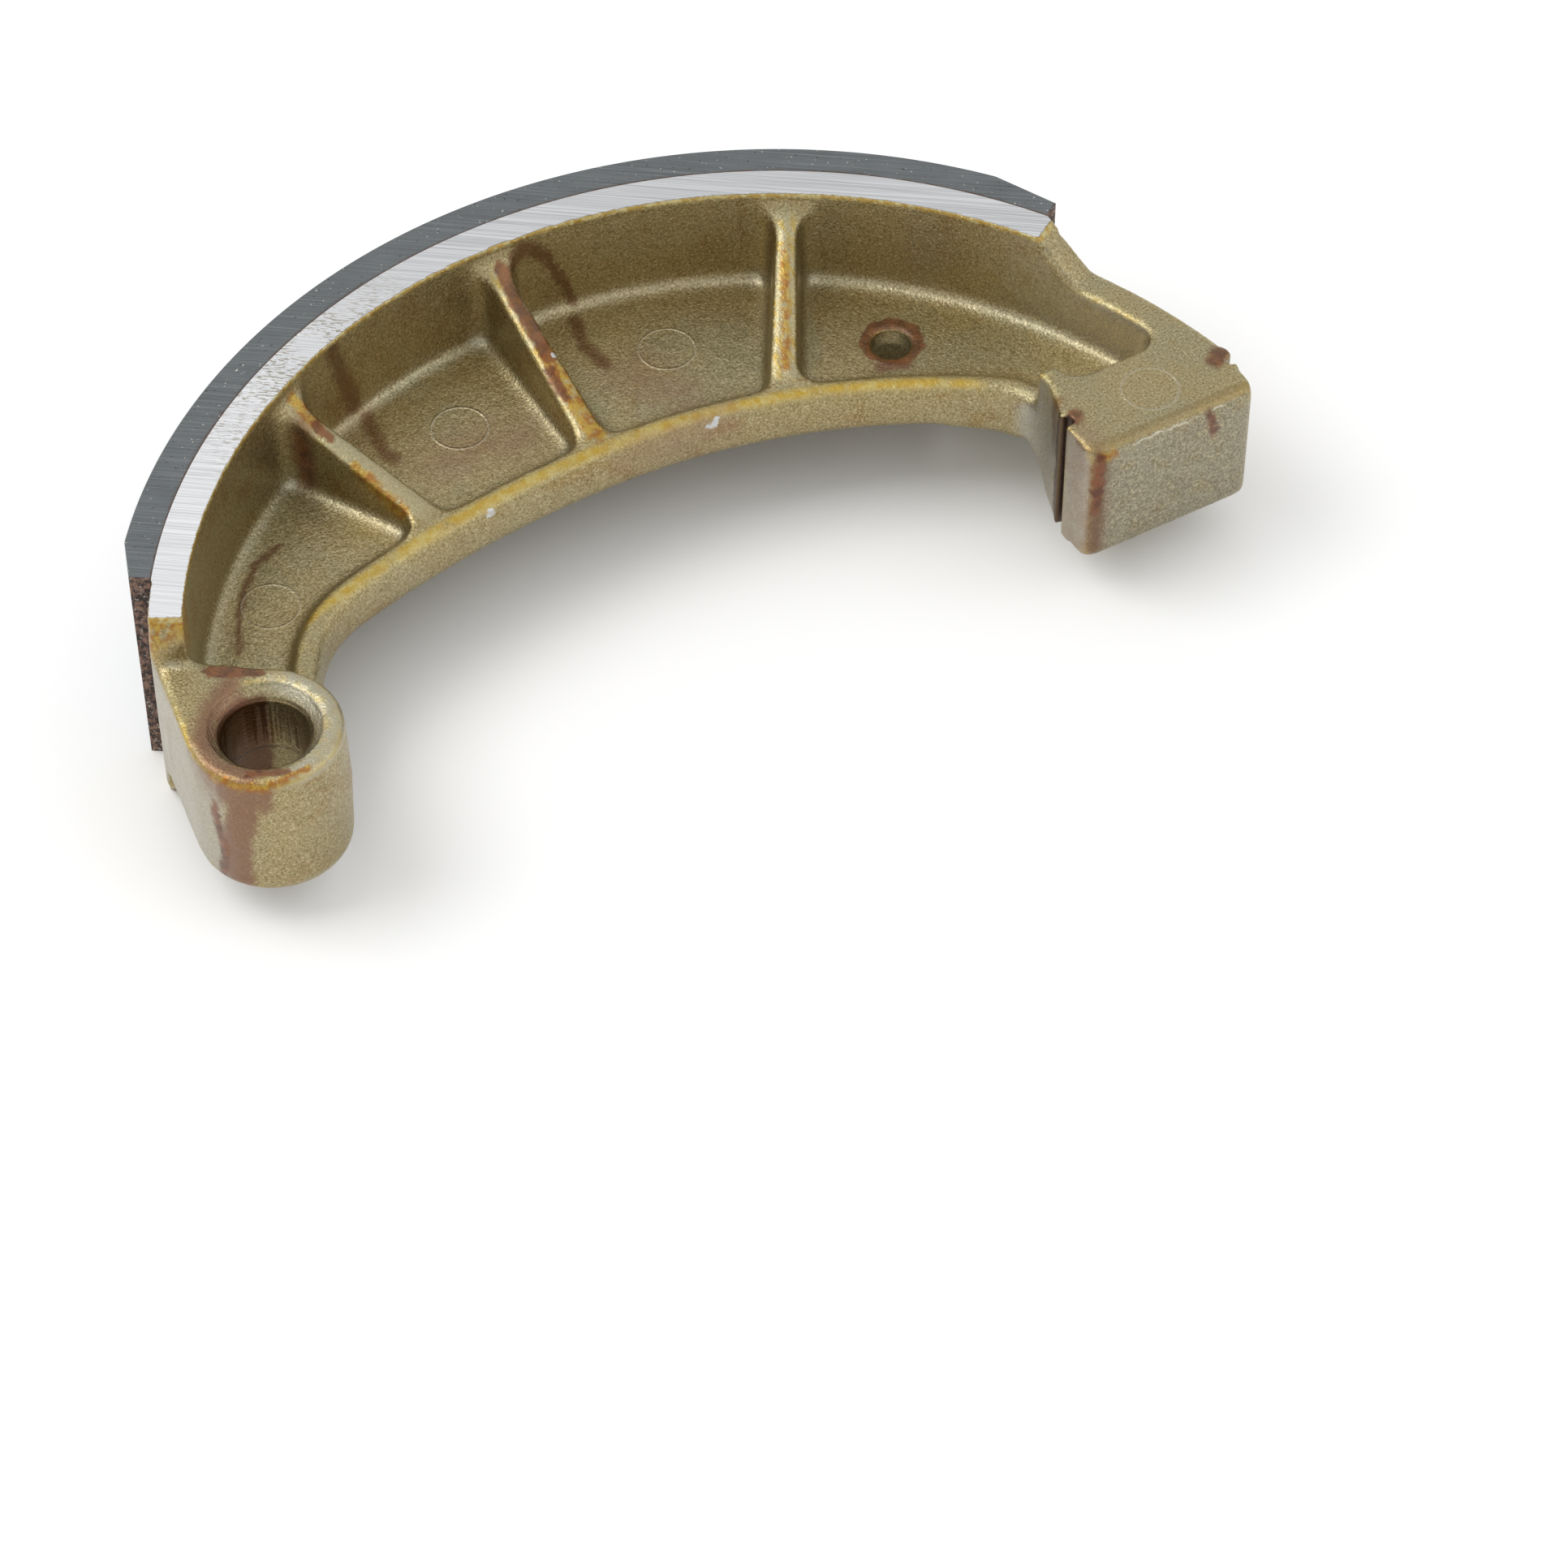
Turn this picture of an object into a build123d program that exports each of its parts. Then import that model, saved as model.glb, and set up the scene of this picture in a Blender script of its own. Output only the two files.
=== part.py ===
from build123d import *
import math
import os

# Brake shoe for a small drum brake: one die-cast aluminium shoe and one bonded friction lining.
# Everything is drawn around the drum axis first (X towards the cam end, Y outwards through the
# middle of the lining, Z along the drum axis, z = 0 at mid width). The last step moves the
# pivot bore to the origin.

# Drum and lining
drum_radius = 75.0
shoe_width = 30.0
lining_thickness = 4.0
lining_cam_angle = 32.8
lining_pivot_angle = 147.2
bevel_cam_length = 8.5
bevel_pivot_length = 5.5
bevel_depth = 1.4

# Rim of the casting, which the lining is bonded to
rim_foot_thickness = 4.8
rim_stock = 0.05
rim_cam_angle = 32.3
rim_pivot_angle = 152.0
ramp_cam_length = 6.0
ramp_pivot_length = 4.4

# Web, inner flange and pockets
web_thickness = 3.0
flange_rise_front = 3.75
flange_rise_back = 3.3
flange_width = 3.2
flange_edge_radius = 1.6
casting_draft = 3.4
pocket_corner_radius = 2.0
pocket_foot_ease = 0.9
pocket_foot_clearance = 0.5

# Inner edge of the casting: a long flat arch with a tighter bend at each end
crown_height = 39.5
arch_radius_pivot = 130.0
arch_half_pivot = 35.5
neck_radius = 15.0
neck_turn = 42.0
arch_radius_cam = 80.0
arch_half_cam = 45.0
lobe_radius = 7.0
lobe_turn = 74.0

# Ribs: radial, one list of angles for each face, tops sloping from the rim to the flange
rib_angles_front = [59.1, 90.7, 119.4]
rib_angles_back = [75.0, 106.2, 134.2]
rib_foot_width = 3.9
rib_rim_height = 12.6
rib_slope_height = 10.2
rib_flare = 4.2

# Pivot boss: its axis is placed from the end of the bend at the neck
pivot_past_neck = 16.043
pivot_off_neck = 4.511
boss_radius = 9.3
boss_height = 18.5
boss_draft = 1.8
pivot_bore = 10.1
countersink_depth = 1.75
boss_edge_ease = 0.5
neck_side_angle = 153.8
neck_wall_offset = 8.62
neck_wall_length = 11.0
neck_wall_turn = 97.8

# Cam block with its flat pad and the two grooves that hold a pad plate
pad_height = 5.9
pad_near_x = 46.2
pad_far_x = 69.4
block_height = 18.5
block_wall_y = 18.4
lobe_near_x = 46.4
lobe_low_y = 13.4
pad_edge_radius = 1.7
groove_width = 1.2
groove_near_y = 12.7
groove_near_depth = 1.4
groove_far_y = 11.6
groove_far_depth = 0.9
block_margin = 5.0

# Spring hole through the web
spring_hole_x = 39.44
spring_hole_y = 40.73
spring_hole = 5.0

# Filled deck behind the cam block, on the back face
deck_wall_angle = 41.0
deck_wall_lean = 25.0
deck_low_radius = 51.8
deck_slope_run = 6.8
deck_sink = 0.2
crease_angle = 26.5
scoop_x = 56.6
scoop_end_x = 53.07
scoop_slope = 40.0
scoop_corner_radius = 3.0

# How far the forms of the casting run into each other
overlap = 1.0

table_radius = drum_radius - lining_thickness
rim_foot_radius = table_radius - rim_foot_thickness
half_width = shoe_width / 2
half_web = web_thickness / 2
half_boss = boss_height / 2
half_block = block_height / 2


def polar(radius, angle):
    """Point at a radius and an angle in degrees around the drum axis."""
    return (radius * math.cos(math.radians(angle)), radius * math.sin(math.radians(angle)))


def round_corner(outline, point, radius):
    """Outline with the corner nearest to a point rounded."""
    return fillet(outline.vertices().sort_by_distance(point)[0], radius)


def inner_edge(gap):
    """Inner edge of the casting, moved outwards by gap: edges from the crown to the pivot and to the cam."""
    crown = (0, crown_height + gap)
    turn_pivot = math.degrees(math.asin(arch_half_pivot / arch_radius_pivot))
    turn_cam = math.degrees(math.asin(arch_half_cam / arch_radius_cam))
    pivot_arch = JernArc(crown, (-1, 0), arch_radius_pivot + gap, turn_pivot)
    neck = JernArc(pivot_arch @ 1, pivot_arch % 1, neck_radius + gap, neck_turn)
    into_boss = Line(neck @ 1, neck @ 1 + (neck % 1) * boss_radius)
    cam_arch = JernArc(crown, (1, 0), arch_radius_cam + gap, -turn_cam)
    lobe = JernArc(cam_arch @ 1, cam_arch % 1, lobe_radius + gap, -lobe_turn)
    return [pivot_arch, neck, into_boss], [cam_arch, lobe]


def pivot_axis():
    """Centre of the pivot bore, beside the straight line in which the bend at the neck runs out."""
    bend = inner_edge(0)[0][1]
    return bend @ 1 + (bend % 1) * pivot_past_neck + (bend % 1).rotate(Axis.Z, -90) * pivot_off_neck


def outer_tangent():
    """Where the straight outer side of the neck leaves the rim and where it touches the boss."""
    pivot = pivot_axis()
    leave = Vector(*polar(table_radius, neck_side_angle))
    to_leave = leave - pivot
    swing = math.degrees(math.acos(boss_radius / to_leave.length))
    direction = math.degrees(math.atan2(to_leave.Y, to_leave.X)) + swing
    touch = pivot + Vector(1, 0).rotate(Axis.Z, direction) * boss_radius
    return leave, touch


def body_plan():
    """Plan of the whole casting except the round boss."""
    pivot_side, cam_side = inner_edge(0)
    leave, touch = outer_tangent()
    neck_end = pivot_side[-1] @ 1
    lobe_end = cam_side[-1] @ 1
    leave_angle = math.degrees(math.atan2(leave.Y, leave.X))
    heel_angle = math.degrees(math.asin(groove_far_y / table_radius))
    heel = polar(table_radius, heel_angle)
    rim_arc = CenterArc((0, 0), table_radius, heel_angle, leave_angle - heel_angle)
    neck_lines = Polyline(leave, touch, pivot_axis(), neck_end)
    block_lines = Polyline(lobe_end, (lobe_near_x, lobe_low_y), (pad_near_x, groove_near_y),
                           (pad_near_x, pad_height), (pad_far_x, pad_height),
                           (pad_far_x, groove_far_y), heel)
    return make_face([rim_arc, neck_lines, block_lines] + pivot_side + cam_side)


def slab(face, low, high):
    """Flat face given thickness from z = low to z = high."""
    return extrude(Pos(0, 0, low) * face, high - low)


def flange_and_web():
    """Plate up to the flange tops, with its long inner edges rounded; the pockets thin it to the web."""
    pivot_side, cam_side = inner_edge(0)
    plate_radius = table_radius - overlap
    ends = [pivot_side[-1] @ 1, cam_side[-1] @ 1]
    angles = [math.degrees(math.atan2(p.Y, p.X)) for p in ends]
    rim_arc = CenterArc((0, 0), plate_radius, angles[1], angles[0] - angles[1])
    sides = [Line(ends[0], rim_arc @ 1), Line(ends[1], rim_arc @ 0)]
    face = make_face([rim_arc] + sides + pivot_side + cam_side)
    plate = slab(face, -flange_rise_back, flange_rise_front)
    top = plate.edges().group_by(Axis.Z)[-1]
    bottom = plate.edges().group_by(Axis.Z)[0]
    inner = [e for e in top + bottom if (e @ 0.5 - rim_arc.arc_center).length < plate_radius - overlap]
    inner = [e for e in inner if e.geom_type == GeomType.CIRCLE or e.length < boss_radius + 0.01]
    return fillet(inner, flange_edge_radius)


def end_ramp(angle, outwards, length):
    """Cutter that takes the rim end down to block height by a slope that starts at an angle.

    outwards is -1 at the cam end, where the slope runs to smaller angles, and 1 at the pivot end."""
    tangent = Vector(0, outwards, 0).rotate(Axis.Z, angle)
    radial = Vector(1, 0, 0).rotate(Axis.Z, angle)
    inside = rim_foot_radius - 2 * rim_foot_thickness
    plane = Plane(origin=radial * inside, x_dir=tangent, z_dir=tangent.cross(Vector(0, 0, 1)))
    far = shoe_width
    outline = Polyline((0, half_width), (length, half_block), (far, half_block), (far, half_width + overlap),
                       (0, half_width + overlap), close=True)
    depth = 4 * rim_foot_thickness * (1 if plane.z_dir.dot(radial) > 0 else -1)
    return extrude(plane * make_face(outline), depth)


def rim():
    """Rim: a ring sector drafted inside, whose two ends slope down to the boss and to the cam block."""
    leave, touch = outer_tangent()
    start = math.degrees(math.asin(block_wall_y / table_radius)) - 3
    end = math.degrees(math.atan2(leave.Y, leave.X))
    foot = rim_foot_radius - rim_stock
    edge = foot + (half_width - half_web) * math.tan(math.radians(casting_draft))
    outline = Polyline((table_radius, -half_width), (edge, -half_width), (foot, -half_web), (foot, half_web),
                       (edge, half_width), (table_radius, half_width), close=True)
    ring = revolve(Rot(0, 0, start) * (Plane.XZ * make_face(outline)), Axis.Z, revolution_arc=end - start)
    ramps = [(rim_cam_angle, -1, ramp_cam_length), (rim_pivot_angle, 1, ramp_pivot_length)]
    for angle, outwards, length in ramps:
        cutter = end_ramp(angle, outwards, length)
        ring = ring - cutter - mirror(cutter, about=Plane.XY)
    return ring


def neck_wall():
    """Wall between the neck and the first pocket: its point nearest to the pivot axis and its direction."""
    bend = inner_edge(0)[0][1]
    direction = (bend % 1).rotate(Axis.Z, -neck_wall_turn)
    return pivot_axis() + direction.rotate(Axis.Z, -90) * neck_wall_offset, direction


def boss():
    """Round pivot boss with its neck to the rim, drafted both ways from the mid plane."""
    leave, touch = outer_tangent()
    pivot = pivot_axis()
    wall_start, wall_direction = neck_wall()
    wall_end = wall_start + wall_direction * neck_wall_length
    lean = math.tan(math.radians(boss_draft))
    top_radius = boss_radius - half_boss * lean
    shoulder = (top_radius + boss_edge_ease * lean, half_boss - boss_edge_ease)
    profile = Polyline((0, 0), (boss_radius, 0), shoulder, (top_radius - boss_edge_ease, half_boss),
                       (0, half_boss), close=True)
    drum = Pos(pivot) * revolve(Plane.XZ * make_face(profile), Axis.Z)
    neck = make_face(Polyline(pivot, touch, leave, wall_end, wall_start, close=True))
    half = drum + extrude(neck, half_boss, taper=boss_draft)
    return half + mirror(half, about=Plane.XY)


def scoop_end():
    """Distance from the drum axis to where the scoop's rim meets the crease of the filled deck."""
    return scoop_end_x / math.cos(math.radians(crease_angle))


def cam_block():
    """Cam block, whose back face reaches up to the crease of the filled deck, round a scoop by the lobe."""
    plan = body_plan()
    left = pad_near_x - block_margin
    right = table_radius + block_margin
    top = block_wall_y + 3 * overlap
    bottom = pad_height - block_margin
    low = make_face(Polyline((left, bottom), (right, bottom), (right, top), (left, top), close=True))
    front = slab(plan & low, -flange_rise_back, half_block)
    crease_end = polar(table_radius + overlap, crease_angle)
    below = [(right, bottom), (left, bottom)]
    crest = Polyline((left, block_wall_y), (scoop_x, block_wall_y), polar(scoop_end(), crease_angle),
                     crease_end, *below, close=True)
    depth = half_block - flange_rise_back
    run = depth * math.tan(math.radians(scoop_slope))
    foot_corner = (scoop_x - 1.5 * run, block_wall_y + run)
    foot_side = Vector(*polar(scoop_end(), crease_angle)) + Vector(-run, 2 * overlap)
    foot = Polyline((left, block_wall_y + run), foot_corner, foot_side, crease_end, *below, close=True)
    crest_face = round_corner(make_face(crest), (scoop_x, block_wall_y), scoop_corner_radius)
    foot_face = round_corner(make_face(foot), foot_corner, scoop_corner_radius / 2)
    sunk = flange_rise_back - overlap / 2
    raised = loft([Pos(0, 0, half_block) * crest_face, Pos(0, 0, sunk) * foot_face], ruled=True)
    back = mirror(raised, about=Plane.XY) & slab(plan, -half_block, 0)
    block = front + back
    pad_edges = [e for e in block.edges() if (e @ 0.5).Y < pad_height + 0.01]
    return fillet(pad_edges, pad_edge_radius)


def back_deck():
    """Filled deck on the back face, from the crease beside the cam block to the spring hole's pocket.

    It lies at block height along the rim and falls to the flange along the inner edge."""
    outer = rim_foot_radius + 1.5 * overlap
    sections = []
    for angle, low, high, sink in [(crease_angle - 0.5, scoop_end() - deck_slope_run, scoop_end(), 0),
                                   (deck_wall_angle + 2, deck_low_radius, rim_foot_radius, deck_sink)]:
        profile = Polyline((low - 2 * overlap, 0), (low - 2 * overlap, flange_rise_back),
                           (low, flange_rise_back + deck_sink), (high, half_block - sink),
                           (outer, half_block), (outer, 0), close=True)
        sections.append(Rot(0, 0, angle) * (Plane.XZ * make_face(profile)))
    deck = mirror(loft(sections, ruled=True), about=Plane.XY)
    return deck & slab(body_plan(), -half_block, 0)


def crest_radius(angle):
    """Distance from the drum axis to the outer side of the flange, along a direction."""
    pivot_side, cam_side = inner_edge(flange_width)
    ray = Edge.make_line((0, 0), polar(rim_foot_radius, angle))
    hits = [edge.intersect(ray) for edge in pivot_side + cam_side]
    return min(hit[0].center().length for hit in hits if hit)


def rib_blank(angle, crest_height):
    """Rib blank, wider than the rib: a radial profile that slopes from the rim down to the flange crest.

    It ends where the rounded inner edge of the flange begins."""
    crest = crest_radius(angle)
    inside = crest - flange_width
    beyond_rim = rim_foot_radius + overlap
    knee = (rim_foot_radius - rib_flare, rib_slope_height)
    slope = Line((crest, crest_height), knee)
    flare = TangentArc(knee, (beyond_rim, rib_rim_height + overlap), tangent=slope % 1)
    outline = Polyline(flare @ 1, (beyond_rim, 0), (inside, 0), (inside, crest_height),
                       (crest, crest_height))
    profile = Plane.XZ * make_face([slope, flare, outline])
    blank = Rot(0, 0, angle) * extrude(profile, rib_foot_width / 2 + pocket_corner_radius + 0.5, both=True)
    pivot_side, cam_side = inner_edge(flange_edge_radius)
    ends = [pivot_side[-1] @ 1, cam_side[-1] @ 1]
    opening = make_face(pivot_side + cam_side + [Polyline(ends[0], (0, 0), ends[1])])
    return blank - slab(opening, -half_width, half_width)


def pocket_plan(rib_angles):
    """Outlines of the pocket floors on one face, from the pivot side to the cam side.

    Shrinking each outline and growing it back by the corner radius rounds its corners."""
    pivot_side, cam_side = inner_edge(flange_width)
    neck_end = pivot_side[-1] @ 1
    lobe_end = cam_side[-1] @ 1
    below = Polyline(neck_end, (neck_end.X, -drum_radius), (lobe_end.X, -drum_radius), lobe_end)
    void = make_face([below] + pivot_side + cam_side)
    half_plane = Pos(0, drum_radius) * Rectangle(4 * drum_radius, 2 * drum_radius)
    beyond_block = Pos(0, block_wall_y + pocket_foot_clearance) * half_plane
    wall_start, wall_direction = neck_wall()
    wall_plane = Plane(origin=wall_start, x_dir=-wall_direction, z_dir=(0, 0, 1))
    beyond_neck = wall_plane * Pos(0, pocket_foot_clearance) * half_plane
    region = (Circle(rim_foot_radius) & beyond_block & beyond_neck) - void
    for angle in rib_angles:
        strip = Rectangle(rim_foot_radius, rib_foot_width)
        region = region - Rot(0, 0, angle) * Pos(rim_foot_radius * 0.75, 0) * strip
    shrunk = [offset(face, -pocket_corner_radius) for face in region.faces().sort_by(Axis.X)]
    return [offset(core, pocket_corner_radius, kind=Kind.ARC).face() for core in shrunk]


def pocket_tools(rib_angles):
    """Drafted pocket cutters above the web, with rounded corners and eased feet."""
    foot_plane = Plane(origin=(0, 0, half_web), z_dir=(0, 0, 1))
    tools = []
    for floor in pocket_plan(rib_angles):
        tool = slab(floor, half_web, half_width + overlap)
        walls = [face for face in tool.faces() if abs(face.normal_at().Z) < 0.5]
        tool = draft(walls, foot_plane, -casting_draft)
        tools.append(chamfer(tool.edges().group_by(Axis.Z)[0], pocket_foot_ease))
    return tools


def behind_deck():
    """Space on the pivot side of the leaning wall that ends the filled deck."""
    reach = 4 * drum_radius
    return Rot(0, 0, deck_wall_angle) * Pos(0, 0, half_web) * Rot(deck_wall_lean, 0, 0) * (
        Pos(0, reach / 2, 0) * Box(reach, reach, reach))


def grooves():
    """The two grooves beside the cam pad."""
    through = 2 * block_height
    near = Box(groove_near_depth + 2 * overlap, groove_width, through)
    near = Pos(pad_near_x + groove_near_depth / 2 - overlap, groove_near_y) * near
    far = Box(groove_far_depth + 4 * overlap, groove_width, through)
    far = Pos(pad_far_x - groove_far_depth / 2 + 2 * overlap, groove_far_y) * far
    return near, far


def pivot_cut():
    """Pivot bore with a countersink at each end."""
    radius = pivot_bore / 2
    bore = Cylinder(radius, boss_height + 2 * overlap)
    sink = Cone(radius, radius + countersink_depth, countersink_depth)
    sink = Pos(0, 0, half_boss - countersink_depth / 2) * sink
    return Pos(pivot_axis()) * (bore + sink + mirror(sink, about=Plane.XY))


def shoe_casting():
    """The whole casting, moved so that the pivot bore is at the origin."""
    body = flange_and_web() + rim() + boss() + cam_block() + back_deck()
    for angle in rib_angles_front:
        body = body + rib_blank(angle, flange_rise_front)
    for angle in rib_angles_back:
        body = body + mirror(rib_blank(angle, flange_rise_back), about=Plane.XY)
    for tool in pocket_tools(rib_angles_front):
        body = body - tool
    *back_tools, deck_tool = pocket_tools(rib_angles_back)
    for tool in back_tools + [deck_tool & behind_deck()]:
        body = body - mirror(tool, about=Plane.XY)
    body = body - pivot_cut() - Pos(spring_hole_x, spring_hole_y) * Cylinder(spring_hole / 2, boss_height)
    for cut in grooves():
        body = body - cut
    return Pos(-pivot_axis()) * body


def friction_lining():
    """Curved friction lining with a flat bevel at each end, bonded to the rim."""
    cam_bevel = lining_cam_angle + math.degrees(bevel_cam_length / drum_radius)
    pivot_bevel = lining_pivot_angle - math.degrees(bevel_pivot_length / drum_radius)
    friction_arc = CenterArc((0, 0), drum_radius, cam_bevel, pivot_bevel - cam_bevel)
    bond_arc = CenterArc((0, 0), table_radius, lining_cam_angle, lining_pivot_angle - lining_cam_angle)
    cam_tip = polar(drum_radius - bevel_depth, lining_cam_angle)
    pivot_tip = polar(drum_radius - bevel_depth, lining_pivot_angle)
    cam_end = Polyline(bond_arc @ 0, cam_tip, friction_arc @ 0)
    pivot_end = Polyline(bond_arc @ 1, pivot_tip, friction_arc @ 1)
    lining = slab(make_face([friction_arc, bond_arc, cam_end, pivot_end]), -half_width, half_width)
    return Pos(-pivot_axis()) * lining


os.makedirs("parts", exist_ok=True)
nodes = {"shoe_casting": shoe_casting(), "friction_lining": friction_lining()}
for name, solid in nodes.items():
    export_step(solid, f"parts/{name}.step")
    print(name, len(solid.solids()), round(solid.volume, 1), solid.is_valid)
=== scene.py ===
import math

import bmesh
import bpy
import numpy as np
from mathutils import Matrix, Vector, kdtree


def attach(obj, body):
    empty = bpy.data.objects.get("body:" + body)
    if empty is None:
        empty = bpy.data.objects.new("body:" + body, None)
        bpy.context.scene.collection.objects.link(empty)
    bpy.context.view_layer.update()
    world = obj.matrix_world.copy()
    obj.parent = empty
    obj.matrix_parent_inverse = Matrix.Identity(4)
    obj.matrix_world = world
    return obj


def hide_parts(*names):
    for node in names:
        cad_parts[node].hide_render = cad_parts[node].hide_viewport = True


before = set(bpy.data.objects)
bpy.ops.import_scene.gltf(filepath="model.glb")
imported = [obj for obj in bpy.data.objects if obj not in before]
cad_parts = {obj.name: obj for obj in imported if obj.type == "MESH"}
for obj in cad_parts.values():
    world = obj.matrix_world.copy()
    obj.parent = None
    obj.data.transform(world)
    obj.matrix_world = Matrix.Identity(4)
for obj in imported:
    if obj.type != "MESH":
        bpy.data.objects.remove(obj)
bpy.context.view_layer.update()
scene = bpy.context.scene
mm = 0.001

# Shoe casting: one die-cast aluminium shoe with web, flange, ribs, pivot boss and cam block.
# It was cast, tumbled and chromated to an olive gold; its two sides were ground bright after the
# lining was bonded on, and the adhesive left red-brown runs and smears.
drum_x = 56.46 * mm
drum_y = -16.93 * mm
side_z = 15.0 * mm
seat_radius = 71.0 * mm
seat_ends = (math.radians(32.6), math.radians(147.4))
bore_radius = 5.05 * mm
bore_end_z = 7.4 * mm
boss_face_radius = 8.3 * mm
boss_face_z = 9.25 * mm
hole_x = 95.9 * mm
hole_y = 23.8 * mm
groove_y = -4.8 * mm
groove_ends_x = (105.5 * mm, 123.5 * mm)
cell = 0.34 * mm
near = 0.2 * mm
seat_near = 0.5 * mm
crisp_steps = 5
soft_steps = 26
wear_steps = 26
wear_depth = 0.30 * mm
casting_triangles = 190000
crisp_fade = 0.8 * mm
crisp_by_side = 0.8 * mm
crisp_by_groove = 1.6 * mm
crisp_by_hole = 3.4 * mm
crisp_by_bore = 7.2 * mm
crisp_by_boss = 10.5 * mm
boss_rise_z = 7.5 * mm
boss_crispness = 0.75


def merged_copy(node, name):
    """New object with a copy of a CAD node's mesh whose loose triangles are joined along their edges."""
    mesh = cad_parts[node].data.copy()
    mesh.name = name
    work = bmesh.new()
    work.from_mesh(mesh)
    bmesh.ops.remove_doubles(work, verts=work.verts, dist=0.001 * mm)
    work.to_mesh(mesh)
    work.free()
    mesh.materials.clear()
    piece = bpy.data.objects.new(name, mesh)
    scene.collection.objects.link(piece)
    return piece


def settle(piece):
    """Replaces the mesh by the result of the modifiers and removes them."""
    depsgraph = bpy.context.evaluated_depsgraph_get()
    result = bpy.data.meshes.new_from_object(piece.evaluated_get(depsgraph))
    piece.modifiers.clear()
    old = piece.data
    piece.data = result
    bpy.data.meshes.remove(old)


def read_vectors(items, name):
    """One vector property of all items of a mesh as an array of rows."""
    values = np.empty(len(items) * 3)
    items.foreach_get(name, values)
    return values.reshape(-1, 3)


def smoothed(mesh, places, steps):
    """Places after each vertex has moved halfway to the mean of its neighbours, steps times."""
    pairs = np.empty(len(mesh.edges) * 2, dtype=np.int64)
    mesh.edges.foreach_get("vertices", pairs)
    first, second = pairs.reshape(-1, 2).T
    count = np.bincount(pairs, minlength=len(places))[:, None]
    for _ in range(steps):
        total = np.empty_like(places)
        for axis in range(3):
            total[:, axis] = np.bincount(first, places[second, axis], len(places))
            total[:, axis] += np.bincount(second, places[first, axis], len(places))
        places = 0.5 * (places + total / count)
    return places


def put_on_radius(places, chosen, centre, radius):
    """Moves the chosen places straight away from an axis along Z until they are at the radius."""
    offset = places[chosen, :2] - centre
    offset *= radius / np.linalg.norm(offset, axis=1)[:, None]
    places[chosen, :2] = centre + offset


def fade(value, low, high):
    """0 below low, 1 above high, smooth between; low above high turns it round."""
    share = np.clip((value - low) / (high - low), 0, 1)
    return share * share * (3 - 2 * share)


def crisp_share(places, around_bore):
    """1 beside ground and machined faces and at the groove, where edges stay tight; 0 on the raw casting.

    It is the largest of five smooth steps: by the sides, the hole, the bore, the boss and the groove."""
    around_hole = np.hypot(places[:, 0] - hole_x, places[:, 1] - hole_y)
    from_groove = np.abs(places[:, 1] - groove_y)
    rise = np.abs(places[:, 2])
    beside_pad = np.maximum(fade(places[:, 0], groove_ends_x[0], groove_ends_x[0] - mm),
                            fade(places[:, 0], groove_ends_x[1], groove_ends_x[1] + mm))
    beside_pad *= places[:, 0] > hole_x
    by_side = fade(rise, side_z - crisp_by_side - crisp_fade, side_z - crisp_by_side)
    by_hole = fade(around_hole, crisp_by_hole + crisp_fade, crisp_by_hole)
    by_bore = fade(around_bore, crisp_by_bore + crisp_fade, crisp_by_bore)
    by_boss = fade(around_bore, crisp_by_boss + mm, crisp_by_boss) * fade(rise, boss_rise_z - mm, boss_rise_z)
    by_groove = fade(from_groove, crisp_by_groove + crisp_fade, crisp_by_groove) * beside_pad
    return np.maximum.reduce([by_side, by_hole, by_bore, boss_crispness * by_boss, by_groove])


def soften_cast_edges(mesh):
    """Rounds every edge by smoothing, then puts the machined faces back on their planes and cylinders."""
    before = read_vectors(mesh.vertices, "co")
    drum = np.array([drum_x, drum_y])
    around_bore = np.hypot(before[:, 0], before[:, 1])
    tight = smoothed(mesh, before, crisp_steps)
    places = smoothed(mesh, tight, soft_steps - crisp_steps)
    places += crisp_share(before, around_bore)[:, None] * (tight - places)
    side = np.abs(before[:, 2]) > side_z - near
    seat = np.linalg.norm(before[:, :2] - drum, axis=1) > seat_radius - seat_near
    turn = np.arctan2(before[:, 1] - drum_y, before[:, 0] - drum_x)
    seat &= (turn > seat_ends[0]) & (turn < seat_ends[1])
    bore = (around_bore < bore_radius + near) & (np.abs(before[:, 2]) < bore_end_z)
    face = (around_bore < boss_face_radius) & (np.abs(before[:, 2]) > boss_face_z - near)
    places[side, 2] = np.sign(before[side, 2]) * side_z
    places[face, 2] = np.sign(before[face, 2]) * boss_face_z
    put_on_radius(places, seat, drum, seat_radius)
    put_on_radius(places, bore, np.zeros(2), bore_radius)
    mesh.vertices.foreach_set("co", places.ravel())
    mesh.update()


def edge_measure(mesh):
    """How far each vertex stands out of its smoothed surroundings along its normal, over the wear depth.

    It is above 0 on edges and below 0 in feet, and cut off at 1 and -1."""
    places = read_vectors(mesh.vertices, "co")
    normals = read_vectors(mesh.vertex_normals, "vector")
    outwards = ((places - smoothed(mesh, places, wear_steps)) * normals).sum(axis=1)
    return places, np.clip(outwards / wear_depth, -1, 1)


def carry_over(mesh, places, values, name):
    """Gives each vertex the value of the nearest of the given places, as a point attribute."""
    tree = kdtree.KDTree(len(places))
    for index, place in enumerate(places):
        tree.insert(place, index)
    tree.balance()
    nearest = [tree.find(vertex.co)[1] for vertex in mesh.vertices]
    layer = mesh.attributes.new(name, "FLOAT", "POINT")
    layer.data.foreach_set("value", values[nearest])


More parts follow.
